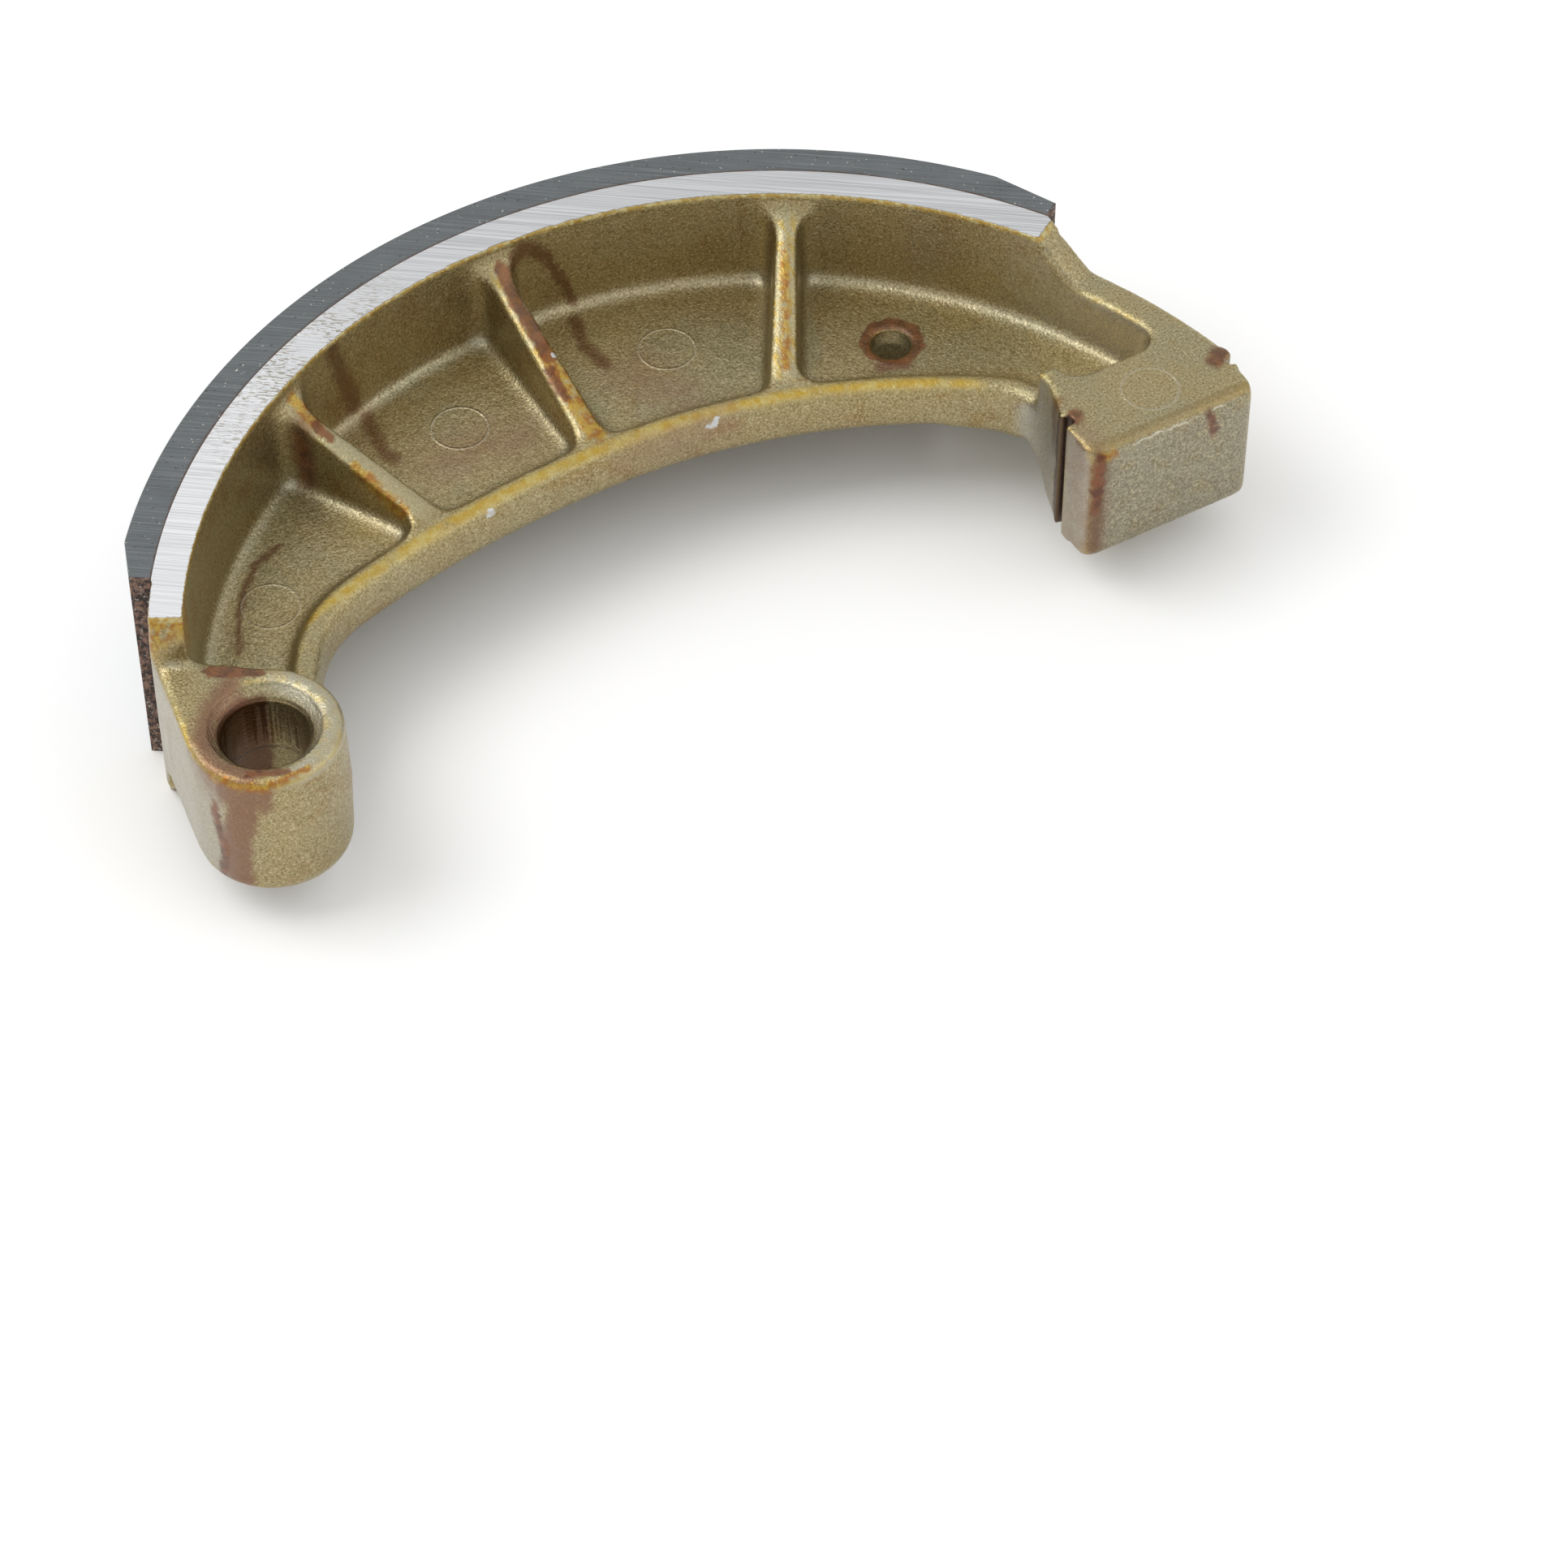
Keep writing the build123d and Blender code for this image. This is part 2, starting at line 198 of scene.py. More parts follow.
def fill_slit(mesh):
    """Adds a plug to the mesh, so that the pocket's floor beside the cam block is closed.

    The plug is a profile in X and Z carried straight along Y, with a flat cap at either end."""
    left = 112.5
    right = 119.6
    bottom_z = -3.2
    floor_z = 1.5
    foot = [(right, 3.4), (119.0, 2.3), (118.5, 1.8), (118.0, 1.55), (117.4, floor_z)]
    profile = np.array([(left, bottom_z), (right, bottom_z), *foot, (left, floor_z)])
    slit_y = (3.9, 6.3)
    count = len(profile)
    points = np.concatenate([np.insert(profile, 1, at_y, axis=1) for at_y in slit_y]) * mm
    corner = np.arange(count)
    after = (corner + 1) % count
    sides = np.stack([corner, after, after + count, corner + count], axis=1).tolist()
    plug = bpy.data.meshes.new("plug")
    plug.from_pydata(points.tolist(), [], sides + [corner[::-1].tolist(), (corner + count).tolist()])
    work = bmesh.new()
    work.from_mesh(mesh)
    work.from_mesh(plug)
    work.to_mesh(mesh)
    work.free()
    bpy.data.meshes.remove(plug)


casting = merged_copy("shoe_casting", "cast_shoe")
fill_slit(casting.data)
remesh = casting.modifiers.new("even cells", "REMESH")
remesh.mode = "VOXEL"
remesh.voxel_size = cell
settle(casting)
soften_cast_edges(casting.data)
dense_places, dense_edges = edge_measure(casting.data)
thin_out = casting.modifiers.new("fewer triangles", "DECIMATE")
thin_out.ratio = casting_triangles / (2 * len(casting.data.polygons))
settle(casting)
carry_over(casting.data, dense_places, dense_edges, "edge")
casting.data.shade_smooth()

# The ground sides are shown flat, so their normals point straight along Z
flat_near = 0.01 * mm
shown_normals = read_vectors(casting.data.vertex_normals, "vector")
final_places = read_vectors(casting.data.vertices, "co")
on_ground_side = np.abs(final_places[:, 2]) > side_z - flat_near
shown_normals[on_ground_side] = 0
shown_normals[on_ground_side, 2] = np.sign(final_places[on_ground_side, 2])
casting.data.normals_split_custom_set_from_vertices(shown_normals.tolist())


class Graph:
    """Short ways to add nodes to one node tree. Lengths in it are millimetres."""

    def __init__(self, tree):
        self.tree = tree

    def feed(self, socket, value):
        """Links an output to the socket, or sets its value."""
        if isinstance(value, bpy.types.NodeSocket):
            self.tree.links.new(value, socket)
        elif hasattr(value, "__len__") and socket.type == "RGBA":
            socket.default_value = (*value, 1.0)
        else:
            socket.default_value = value

    def add(self, kind, *values, **settings):
        """New node with settings; values feed its inputs in order and None leaves an input alone."""
        node = self.tree.nodes.new(kind)
        for name, setting in settings.items():
            setattr(node, name, setting)
        for socket, value in zip(node.inputs, values):
            if value is not None:
                self.feed(socket, value)
        return node

    def math(self, operation, *values, clamp=False):
        """Result of one operation on numbers."""
        return self.add("ShaderNodeMath", *values, operation=operation, use_clamp=clamp).outputs[0]

    def product(self, *values):
        """All values multiplied together, from left to right."""
        total = values[0]
        for value in values[1:]:
            total = self.math("MULTIPLY", total, value)
        return total

    def largest(self, values):
        """Largest of several numbers."""
        total = values[0]
        for value in values[1:]:
            total = self.math("MAXIMUM", total, value)
        return total

    def vector(self, operation, *values):
        """Result of one operation on vectors, which is a number for a length or a dot product."""
        node = self.add("ShaderNodeVectorMath", *values, operation=operation)
        return node.outputs["Value" if operation in ("LENGTH", "DISTANCE", "DOT_PRODUCT") else "Vector"]

    def scaled(self, place, *factors):
        """Vector with its X, Y and Z each multiplied by its own factor."""
        return self.vector("MULTIPLY", place, factors)

    def split(self, place):
        """X, Y and Z of a vector, as outputs of those names."""
        return self.add("ShaderNodeSeparateXYZ", place).outputs

    def join(self, x, y, z):
        """Vector of three numbers."""
        return self.add("ShaderNodeCombineXYZ", x, y, z).outputs[0]

    def around(self, x, y, centre_x, centre_y):
        """Distance of a point from a line along Z through the centre."""
        offset = self.join(self.math("SUBTRACT", x, centre_x), self.math("SUBTRACT", y, centre_y), 0.0)
        return self.vector("LENGTH", offset)

    def noise(self, place, size, detail=2.0, roughness=0.5):
        """Noise from 0 to 1 whose lumps are about size millimetres wide."""
        node = self.add("ShaderNodeTexNoise")
        self.feed(node.inputs["Vector"], place)
        self.feed(node.inputs["Scale"], 1.0 / size)
        self.feed(node.inputs["Detail"], detail)
        self.feed(node.inputs["Roughness"], roughness)
        return node.outputs["Fac"]

    def step(self, value, low, high):
        """0 below low, 1 above high, smooth between; low above high turns it round."""
        node = self.add("ShaderNodeMapRange", value, low, high, interpolation_type="SMOOTHSTEP")
        return node.outputs[0]

    def patches(self, place, size, low, high, detail=3.0, roughness=0.6):
        """Patches about size millimetres wide: a noise turned into 0 and 1 by a step from low to high."""
        return self.step(self.noise(place, size, detail, roughness), low, high)

    def jagged(self, value, place, size, by, roughness=0.6):
        """The value plus a noise from 0 to by, whose lumps are about size millimetres wide."""
        return self.math("ADD", value, self.product(self.noise(place, size, 3.0, roughness), by))

    def band(self, value, low, high, soft):
        """1 between low and high, fading over soft on either side."""
        rise = self.step(value, low - soft, low + soft)
        fall = self.step(value, high + soft, high - soft)
        return self.math("MULTIPLY", rise, fall)

    def blend(self, share, first, second):
        """Colour first, turning into second as share goes from 0 to 1. A Mix node has them at 6 and 7."""
        node = self.add("ShaderNodeMix", data_type="RGBA")
        self.feed(node.inputs["Factor"], share)
        self.feed(node.inputs[6], first)
        self.feed(node.inputs[7], second)
        return node.outputs[2]

    def paint(self, colour, mask, strength, tint):
        """Colour, turning into the tint where the mask is 1, by no more than the strength."""
        return self.blend(self.product(mask, strength), colour, tint)

    def lerp(self, share, first, second):
        """Number first, turning into second as share goes from 0 to 1. A Mix node has them at 2 and 3."""
        node = self.add("ShaderNodeMix", data_type="FLOAT")
        self.feed(node.inputs["Factor"], share)
        self.feed(node.inputs[2], first)
        self.feed(node.inputs[3], second)
        return node.outputs[0]

    def place(self):
        """Object coordinates in millimetres."""
        return self.scaled(self.add("ShaderNodeTexCoord").outputs["Object"], 1000, 1000, 1000)

    def use(self, group, **inputs):
        """Node group placed in the tree with its inputs fed, as a dictionary of its outputs."""
        node = self.add("ShaderNodeGroup", node_tree=group)
        for name, value in inputs.items():
            self.feed(node.inputs[name.replace("_", " ")], value)
        return node.outputs


def new_group(name, inputs, outputs):
    """Empty node group with named sockets: the group, its graph, its inputs and the sockets it puts out."""
    group = bpy.data.node_groups.new(name, "ShaderNodeTree")
    for socket, kind in inputs.items():
        group.interface.new_socket(socket, in_out="INPUT", socket_type="NodeSocket" + kind)
    for socket, kind in outputs.items():
        group.interface.new_socket(socket, in_out="OUTPUT", socket_type="NodeSocket" + kind)
    graph = Graph(group)
    start = graph.add("NodeGroupInput")
    end = graph.add("NodeGroupOutput")
    return group, graph, start.outputs, end.inputs


def new_material(name):
    """Material with its graph and its Principled BSDF."""
    material = bpy.data.materials.new(name)
    material.use_nodes = True
    return material, Graph(material.node_tree), material.node_tree.nodes["Principled BSDF"]


def finish_material(g, shader, colour, roughness, relief):
    """Feeds the shader its colour and roughness, and a bump whose relief is in millimetres."""
    bump = g.add("ShaderNodeBump")
    g.feed(bump.inputs["Strength"], 1.0)
    g.feed(bump.inputs["Distance"], mm)
    g.feed(bump.inputs["Height"], relief)
    g.feed(shader.inputs["Base Color"], colour)
    g.feed(shader.inputs["Roughness"], roughness)
    g.feed(shader.inputs["Normal"], bump.outputs["Normal"])


# Straight grinding marks on a face square to Z: long thin lines at one angle to X, the coarse bands
# that they lie in, and short dashes. Each is a noise drawn out along the marks.
grind_lines, g, given, out = new_group(
    "grinding lines", {"Place": "Vector", "Angle": "Float", "Width": "Float"},
    {"Lines": "Float", "Coarse": "Float", "Dashes": "Float"})
turned = g.add("ShaderNodeVectorRotate", given["Place"], None, None, g.product(given["Angle"], -1.0),
               rotation_type="Z_AXIS").outputs[0]
along = g.split(turned)
across = g.math("DIVIDE", along["Y"], given["Width"])
fine = g.join(g.product(along["X"], 0.045), across, g.product(along["Z"], 0.2))
coarse = g.join(g.product(along["X"], 0.02), g.product(across, 0.33), 0.0)
short = g.join(g.product(along["X"], 0.9), g.product(across, 0.5), 0.0)
g.feed(out["Lines"], g.noise(fine, 1.0, 3.0, 0.65))
g.feed(out["Coarse"], g.noise(coarse, 1.0, 2.0, 0.6))
g.feed(out["Dashes"], g.noise(short, 1.0, 2.0, 0.6))

# Run of adhesive between two points: 1 closer to the line between them than half the width, fading
# over the softness to either side. The point nearest on the line is found by its share of the length.
run_mark, g, given, out = new_group(
    "adhesive run",
    {"Place": "Vector", "Start": "Vector", "End": "Vector", "Half width": "Float", "Softness": "Float"},
    {"Mask": "Float"})
whole = g.vector("SUBTRACT", given["End"], given["Start"])
per_length = g.vector("DIVIDE", whole, g.vector("DOT_PRODUCT", whole, whole))
share = g.math("SUBTRACT", g.vector("DOT_PRODUCT", given["Place"], per_length),
               g.vector("DOT_PRODUCT", given["Start"], per_length), clamp=True)
along_run = g.add("ShaderNodeVectorMath", whole, None, None, share, operation="SCALE").outputs[0]
distance = g.vector("DISTANCE", given["Place"], g.vector("ADD", given["Start"], along_run))
ratio = g.math("DIVIDE", distance, given["Half width"])
g.feed(out["Mask"], g.step(ratio, g.math("ADD", 1.0, given["Softness"]),
                           g.math("SUBTRACT", 1.0, given["Softness"])))

# Top of a radial rib: how far a point lies beside the rib's middle line, which leaves the drum axis
# at the angle
rib_line, g, given, out = new_group("rib line", {"Place": "Vector", "Angle": "Float"}, {"Beside": "Float"})
from_axis = g.vector("SUBTRACT", given["Place"], (drum_x / mm, drum_y / mm, 0.0))
turned = g.split(g.add("ShaderNodeVectorRotate", from_axis, None, None, g.product(given["Angle"], -1.0),
                       rotation_type="Z_AXIS").outputs[0])
g.feed(out["Beside"], turned["Y"])

chromate, g, shader = new_material("chromated casting")
place = g.place()
x, y, z = (g.split(place)[name] for name in "XYZ")
height = g.math("ABSOLUTE", z)
edge = g.add("ShaderNodeAttribute", attribute_name="edge").outputs["Fac"]
normal = g.split(g.add("ShaderNodeNewGeometry").outputs["Normal"])
level = g.math("ABSOLUTE", normal["Z"])
from_drum = g.around(x, y, drum_x / mm, drum_y / mm)
wander_by = 1.4
swirl = g.add("ShaderNodeTexNoise", place, None, 0.9, 3.0).outputs["Color"]
wander = g.scaled(g.vector("SUBTRACT", swirl, (0.5, 0.5, 0.5)), wander_by, wander_by, wander_by)
ragged = g.vector("ADD", place, wander)

# Coating: olive gold, greyer on the pad, with a fine metallic grain; browner, darker patches on the walls are
# painted shade, the paler grey in the feet is a painted highlight, and the pale grey on the outer walls of
# both ends is a painted reflection
floor_olive = ((0.35, 0.285, 0.145), (0.32, 0.285, 0.165))
wall_olive = ((0.345, 0.275, 0.135), (0.345, 0.29, 0.155))
wall_shade_brown = (0.29, 0.185, 0.07)
pad_grey = (0.27, 0.255, 0.20)
cheek_reflection_grey = (0.45, 0.435, 0.395)
patch_brown = (0.33, 0.235, 0.085)
foot_highlight_grey = (0.31, 0.30, 0.24)
bright_fleck = (0.60, 0.52, 0.32)
dark_fleck = (0.15, 0.11, 0.035)
block_start = (102.0, 103.5)
middle_x = 49.0
end_walls = (51.5, 52.5)
clouded = g.patches(place, 12.0, 0.40, 0.62, 3.0, 0.55)
patch = g.noise(place, 2.6, 3.0, 0.6)
grain = g.noise(place, 0.28, 1.5, 0.65)
colour = g.blend(g.step(level, 0.35, 0.85), g.blend(clouded, *wall_olive), g.blend(clouded, *floor_olive))
# Painted shade: the walls, where the normal is level, get browner, darker patches
wall_shade_cloud = g.product(g.patches(place, 6.0, 0.50, 0.68), g.step(level, 0.75, 0.35))
colour = g.paint(colour, wall_shade_cloud, 0.7, wall_shade_brown)
on_pad = g.product(g.step(normal["Y"], -0.6, -0.9), g.step(x, *block_start))
colour = g.paint(colour, on_pad, 0.75, pad_grey)
# Painted reflection: faces turned to -X at both ends, the boss's flank and the block's side wall, are painted
# pale grey, with less dark grain
outside = g.step(g.math("ABSOLUTE", g.math("SUBTRACT", x, middle_x)), *end_walls)
cheek_reflection = g.product(g.step(normal["X"], -0.75, -0.95), outside)
colour = g.paint(colour, cheek_reflection, 0.7, cheek_reflection_grey)
colour = g.paint(colour, g.step(patch, 0.52, 0.70), 0.3, patch_brown)
# Painted highlight: the feet, where the edge measure is below 0, are painted a paler grey
foot = g.step(edge, -0.15, -0.75)
colour = g.paint(colour, foot, 0.6, foot_highlight_grey)
colour = g.paint(colour, g.step(grain, 0.52, 0.68), 0.55, bright_fleck)
dark_grain = g.product(g.step(grain, 0.48, 0.32), g.lerp(cheek_reflection, 0.65, 0.25))
colour = g.blend(dark_grain, colour, dark_fleck)

# Edges and crests, where the coating is thick: pale gold, with golden and brown stretches
edge_gold = ((0.47, 0.345, 0.09), (0.50, 0.43, 0.22))
crest_gold = ((0.47, 0.31, 0.045), (0.53, 0.42, 0.14))
boss_grey = (0.45, 0.435, 0.36)
bevel_brown = (0.25, 0.18, 0.075)
torn_cream = (0.66, 0.61, 0.47)
line_brown = (0.20, 0.09, 0.025)
towards_cam = (0.93, -0.37, 0.0)
boss_top = g.product(g.step(g.vector("LENGTH", g.join(x, y, 0.0)), 9.6, 8.8), g.step(height, 7.6, 8.6),
                     g.step(g.vector("DOT_PRODUCT", place, towards_cam), -1.0, 4.0))
colour = g.paint(colour, boss_top, 0.6, boss_grey)
worn = g.product(g.step(edge, 0.25, 0.75), g.patches(place, 1.8, 0.30, 0.62))
colour = g.paint(colour, worn, 0.6, g.blend(g.patches(place, 1.2, 0.42, 0.60, 2.0), *edge_gold))
beyond = g.math("SUBTRACT", x, drum_x / mm)


def beyond_arch(centre_y, radius):
    """How far outside an arc of the flange's inner edge a point lies: its distance less the radius.

    The arc's centre is at the drum's X."""
    centred = g.join(beyond, g.math("SUBTRACT", y, drum_y / mm + centre_y), 0.0)
    return g.math("SUBTRACT", g.vector("LENGTH", centred), radius)


crown = 39.5
arch_pivot = 130.0
arch_cam = 80.0
from_edge = g.lerp(g.step(beyond, -0.5, 0.5), beyond_arch(crown - arch_pivot, arch_pivot),
                   beyond_arch(crown - arch_cam, arch_cam))
on_flange = g.product(g.step(height, 2.2, 2.9), g.band(beyond, -48.0, 44.0, 2.0))
crest = g.product(g.band(from_edge, 0.75, 2.0, 0.55), on_flange, g.patches(place, 5.0, 0.22, 0.48))
colour = g.paint(colour, crest, 0.9, g.blend(g.patches(place, 1.4, 0.40, 0.62), *crest_gold))
over_pad = g.product(g.step(y, -8.9, -9.4), g.step(x, *block_start))
colour = g.paint(colour, g.product(g.step(height, 8.35, 8.75), over_pad), 0.55, bevel_brown)
torn = g.band(g.jagged(height, place, 1.6, 1.2), 8.75, 8.95, 0.12)
torn = g.product(torn, over_pad, g.patches(place, 3.0, 0.42, 0.52, 2.0, 0.5))
colour = g.paint(colour, torn, 0.8, torn_cream)
pocket_line = g.product(g.band(from_edge, 3.0, 3.35, 0.2), on_flange, g.patches(place, 2.0, 0.40, 0.58))
colour = g.paint(colour, pocket_line, 0.55, line_brown)

# Rib tops: pale at the sides, with golden and amber streaks along the middle
front_ribs = (59.1, 90.7, 119.4)
back_ribs = (75.0, 106.2, 134.2)
rib_pale = (0.44, 0.395, 0.245)
rib_golden = (0.42, 0.29, 0.06)
rib_masks = []
for rib_angle, side in [(angle, 1) for angle in front_ribs] + [(angle, -1) for angle in back_ribs]:
    line = g.use(rib_line, Place=place, Angle=math.radians(rib_angle))
    beside = g.step(g.math("ABSOLUTE", line["Beside"]), 1.9, 1.2)
    rib_masks.append(g.product(beside, g.step(g.product(z, side), 3.6, 4.4)))
on_rib = g.product(g.largest(rib_masks), g.step(level, 0.35, 0.75), g.step(from_drum, 67.0, 64.5))
colour = g.paint(colour, on_rib, 0.5, rib_pale)
streak = g.noise(g.join(g.product(x, 1.2), g.product(y, 0.45), 0.0), 1.0, 3.0, 0.6)
golden = g.product(on_rib, g.product(g.step(streak, 0.48, 0.62), g.step(x, 34.0, 48.0)))
colour = g.paint(colour, golden, 0.75, rib_golden)
fleck = g.noise(place, 0.2, 1.0, 0.6)
chromate_rough = g.lerp(g.step(fleck, 0.35, 0.7), 0.46, 0.32)

# Adhesive: ring round the small hole, runs on the ribs and walls, smears on boss and block; painted shade and
# adhesive brown in and beside the groove.
# A point on a run is looked up with its height cut down, so that a run also clings to a slope.
height_share = 0.35
flattened = g.scaled(ragged, 1.0, 1.0, height_share)


def with_runs(mask, runs):
    """Mask grown by runs: the largest of the mask and of the marks of all their stretches.

    A run has its points, half its width, and how far its edge fades as a share of that."""
    for points, half_width, softness in runs:
        low = [(point_x, point_y, point_z * height_share) for point_x, point_y, point_z in points]
        for start, end in zip(low, low[1:]):
            stretch = g.use(run_mark, Place=flattened, Start=start, End=end, Half_width=half_width,
                            Softness=softness)
            mask = g.math("MAXIMUM", mask, stretch["Mask"])
    return mask


def along_groove(value, low, high, soft):
    """1 where the value lies between low and high, on the stretch of X that the groove takes up."""
    in_reach = g.product(g.step(x, 104.25, 103.95), g.step(x, 90.0, 91.0))
    return g.product(g.band(value, low, high, soft), in_reach)


ring_shift = (0.25, 0.15)
ragged_xyz = g.split(ragged)
around_hole = g.around(ragged_xyz["X"], ragged_xyz["Y"], hole_x / mm + ring_shift[0],
                       hole_y / mm + ring_shift[1])
hole_ring = g.product(g.step(around_hole, 4.3, 3.7), g.step(level, 0.45, 0.8), g.step(height, 3.0, 2.2))
in_groove = along_groove(y, -4.95, -3.5, 0.15)
from_pivot = g.vector("LENGTH", g.join(x, y, 0.0))
dark_runs = [
    ([(56.0, 48.6, 12.4), (56.0, 42.3, 9.4), (56.2, 37.2, 7.7)], 0.95, 0.3),
    ([(55.2, 35.6, 7.0), (55.3, 31.6, 5.6)], 0.6, 0.5),
    ([(25.7, 37.8, 10.5), (26.3, 36.2, 9.9)], 0.75, 0.4),
    ([(24.0, 38.6, 8.0), (23.9, 37.4, 5.0)], 1.4, 0.8),
    ([(-1.6, 10.2, 9.3), (2.8, 7.8, 9.3)], 1.0, 0.3),
    ([(-4.9, -5.6, 9.25), (-0.8, -7.4, 9.25)], 0.55, 0.5),
    ([(125.2, -3.7, 9.2), (123.8, -4.6, 9.2)], 1.1, 0.5),
    ([(104.4, -4.6, 9.2), (104.8, -3.9, 9.2)], 0.9, 0.5),
    ([(118.9, -11.0, 8.6), (119.8, -11.0, 5.4)], 0.5, 0.6),
    ([(103.9, -11.0, 7.6), (103.6, -10.8, 1.0)], 0.7, 0.5),
    ([(-8.6, -3.6, 3.0), (-8.2, -4.4, -3.0), (-8.4, -3.4, -9.2)], 0.65, 0.5),
]
thin_runs = [
    ([(57.2, 48.8, 12.4), (59.2, 49.8, 12.9), (60.8, 49.7, 12.6), (62.3, 49.5, 10.9), (64.8, 48.9, 4.8),
      (65.5, 48.6, 2.2)], 0.5, 0.5),
    ([(64.6, 46.4, 1.5), (63.4, 42.2, 1.5), (64.0, 37.8, 1.5)], 0.8, 0.8),
    ([(31.5, 45.2, 14.5), (32.4, 45.2, 9.5), (34.0, 45.4, 3.8)], 1.0, 0.8),
    ([(35.0, 44.2, 1.5), (34.5, 42.0, 1.5), (34.1, 38.4, 1.5), (34.6, 36.4, 1.5)], 0.9, 0.9),
    ([(103.6, -1.0, 8.0), (103.4, -1.4, 4.5)], 1.0, 0.9),
    ([(104.0, -11.0, 8.0), (103.8, -11.0, -7.0)], 1.0, 0.95),
    ([(16.2, 30.6, 1.5), (12.6, 29.2, 1.5), (9.9, 26.4, 1.5), (6.6, 21.4, 1.5), (4.8, 17.6, 1.5)], 0.42, 0.9),
]
amber_runs = [
    ([(56.2, 38.0, 7.9), (56.4, 26.0, 3.9)], 1.2, 0.4),
    ([(24.4, 40.8, 12.0), (25.8, 38.2, 10.7)], 0.95, 0.4),
    ([(27.6, 32.0, 7.9), (30.6, 25.6, 4.6)], 0.6, 0.7),
    ([(-6.4, 15.8, 14.8), (-2.6, 15.2, 14.2)], 1.9, 0.5),
    ([(-6.6, 14.6, 14.0), (-6.4, 12.0, 12.0)], 0.7, 0.9),
    ([(-9.2, -2.4, 9.25), (-6.7, -6.2, 9.25), (-3.7, -8.1, 9.25), (1.4, -8.2, 9.25)], 0.4, 0.6),
    ([(88.6, 37.0, 10.5), (83.7, 28.2, 7.0), (81.3, 24.0, 5.0)], 0.5, 0.8),
    ([(103.4, -11.0, 9.0), (106.0, -11.0, 9.0)], 0.5, 0.6),
]
faint_runs = [
    ([(66.2, 35.0, 1.5), (69.0, 29.0, 1.5)], 3.6, 0.95),
    ([(39.0, 34.0, 1.5), (49.0, 32.0, 1.5)], 3.4, 0.95),
    ([(72.0, 22.0, 3.0), (58.0, 21.6, 3.0)], 1.4, 0.95),
    ([(102.7, -8.2, 6.0), (102.7, -8.6, -9.3)], 2.6, 0.9),
]
pink_runs = [
    ([(-5.9, -7.2, 9.2), (-7.2, -6.1, 0.0), (-7.4, -5.7, -9.2)], 1.7, 0.3),
    ([(-4.4, -8.2, 7.5), (-8.0, -4.6, 7.5)], 1.0, 0.6),
    ([(-0.8, 7.4, 9.2), (-4.3, 4.9, 9.2), (-7.2, 1.3, 9.2), (-7.7, -2.6, 9.2), (-4.6, -5.8, 9.2)], 1.4, 0.8),
    ([(-0.3, 5.4, 8.6), (-3.4, 4.4, 8.6)], 0.9, 0.6),
    ([(92.6, 20.9, 1.5), (95.6, 19.7, 1.5)], 0.8, 0.6),
]
chip_spots = [
    ([(69.2, 21.6, 3.2), (70.4, 21.6, 3.2)], 0.35, 0.3),
    ([(39.6, 21.8, 3.2), (40.4, 21.6, 3.2)], 0.3, 0.3),
    ([(56.9, 37.2, 7.6), (57.1, 37.2, 7.6)], 0.35, 0.2),
]
dark_brown = ((0.095, 0.024, 0.008), (0.19, 0.058, 0.014))
amber = ((0.33, 0.125, 0.012), (0.46, 0.29, 0.045))
faint_brown = (0.27, 0.15, 0.10)
pink_brown = (0.205, 0.100, 0.064)
thin_brown = (0.13, 0.050, 0.022)
bore_brown = (0.115, 0.040, 0.016)
boss_lip_gold = (0.52, 0.37, 0.07)
groove_shade_brown = (0.075, 0.034, 0.010)
groove_shade_black = (0.030, 0.014, 0.006)
chipped_metal = (0.56, 0.56, 0.55)
lower_left = (-0.64, -0.77, 0.0)
dark_stain = with_runs(g.math("MAXIMUM", hole_ring, in_groove), dark_runs)
thin_stain = with_runs(0.0, thin_runs)
faint_stain = g.product(with_runs(0.0, faint_runs), g.patches(place, 3.0, 0.10, 0.62))
amber_stain = g.product(with_runs(0.0, amber_runs), g.patches(place, 1.4, 0.30, 0.48))
pink_stain = with_runs(0.0, pink_runs)
bore_stain = g.product(g.step(from_pivot, 5.9, 5.3),
                       g.step(g.vector("DOT_PRODUCT", ragged, towards_cam), 1.2, 0.0))
chips = with_runs(0.0, chip_spots)
dark_tint = g.blend(g.patches(place, 1.8, 0.38, 0.62, 2.0, 0.5), *dark_brown)
colour = g.paint(colour, faint_stain, 0.45, faint_brown)
colour = g.paint(colour, pink_stain, 0.8, pink_brown)
colour = g.paint(colour, thin_stain, 0.72, thin_brown)
colour = g.paint(colour, bore_stain, 0.85, bore_brown)
boss_lip = g.product(g.band(from_pivot, 8.75, 9.5, 0.2), g.step(height, 8.5, 9.0),
                     g.step(g.vector("DOT_PRODUCT", place, lower_left), 0.0, 4.0),
                     g.patches(place, 1.5, 0.30, 0.50))
colour = g.paint(colour, boss_lip, 0.85, boss_lip_gold)
colour = g.paint(colour, amber_stain, 0.85, g.blend(g.patches(place, 1.1, 0.42, 0.58), *amber))
colour = g.paint(colour, dark_stain, 0.85, dark_tint)
# Painted shade of the groove: the wall beside the narrow slot is painted dark brown, shade and adhesive, so
# the groove looks wider, and the slot itself is painted near black
by_groove = g.product(along_groove(ragged_xyz["Y"], -4.9, -2.3, 0.35), g.step(normal["Z"], 0.8, 0.5))
colour = g.paint(colour, by_groove, 0.88, groove_shade_brown)
colour = g.paint(colour, in_groove, 0.8, groove_shade_black)
colour = g.blend(chips, colour, chipped_metal)
glued = g.largest([g.product(dark_stain, 0.4), g.product(pink_stain, 0.25), g.product(bore_stain, 0.5),
                   g.product(thin_stain, 0.3), g.product(amber_stain, 0.3)])
